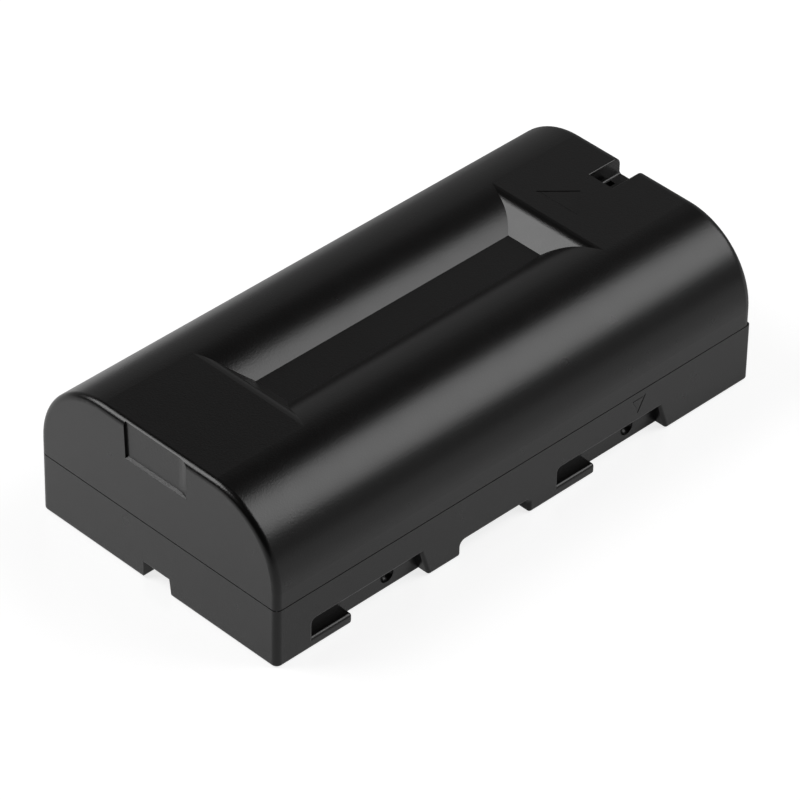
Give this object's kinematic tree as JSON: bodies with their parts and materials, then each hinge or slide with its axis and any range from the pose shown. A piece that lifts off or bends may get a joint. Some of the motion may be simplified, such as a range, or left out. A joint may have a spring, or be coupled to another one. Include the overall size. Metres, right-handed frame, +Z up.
{
  "type": "barcode scanner battery",
  "caption": "Flat rechargeable battery pack in a black two-part moulded case with round shoulders, a top recess, side hook slots, a latch notch and end terminals.",
  "frame": {"origin": "middle of the flat base that the pack lies on", "axes": "+X along the length towards the terminal end, +Y across, +Z up through the flat top"},
  "size_m": [0.0756, 0.0384, 0.0205],
  "materials": {
    "case_plastic": "black moulded ABS, fine satin grain",
    "cell_steel": "nickel plated drawn steel",
    "cell_sleeve": "shrink film",
    "insulating_paper": "pale insulating paper",
    "nickel_strip": "spot welded nickel strip",
    "foam": "closed cell foam",
    "wire_jacket": "red wire jacket",
    "board_laminate": "green solder mask",
    "chip_resin": "black moulded resin",
    "fuse_coat": "yellow coating",
    "capacitor_ceramic": "tan ceramic",
    "contact_metal": "gold plated spring sheet"
  },
  "bodies": {
    "root": {"upper_case": "case_plastic", "lower_case": "case_plastic", "cell_left_can": "cell_steel", "cell_left_sleeve": "cell_sleeve", "cell_left_ring": "insulating_paper", "cell_right_can": "cell_steel", "cell_right_sleeve": "cell_sleeve", "cell_right_ring": "insulating_paper", "series_link": "nickel_strip", "positive_strip": "nickel_strip", "negative_strip": "nickel_strip", "front_insulator": "insulating_paper", "rear_insulator": "insulating_paper", "front_foam_pad": "foam", "midpoint_wire": "wire_jacket", "circuit_board": "board_laminate", "protection_chip": "chip_resin", "transistor_chip": "chip_resin", "resettable_fuse": "fuse_coat", "board_resistors": "chip_resin", "board_capacitors": "capacitor_ceramic", "thermistor": "chip_resin", "contact_negative": "contact_metal", "contact_signal": "contact_metal", "contact_positive": "contact_metal"}
  },
  "joints": []
}
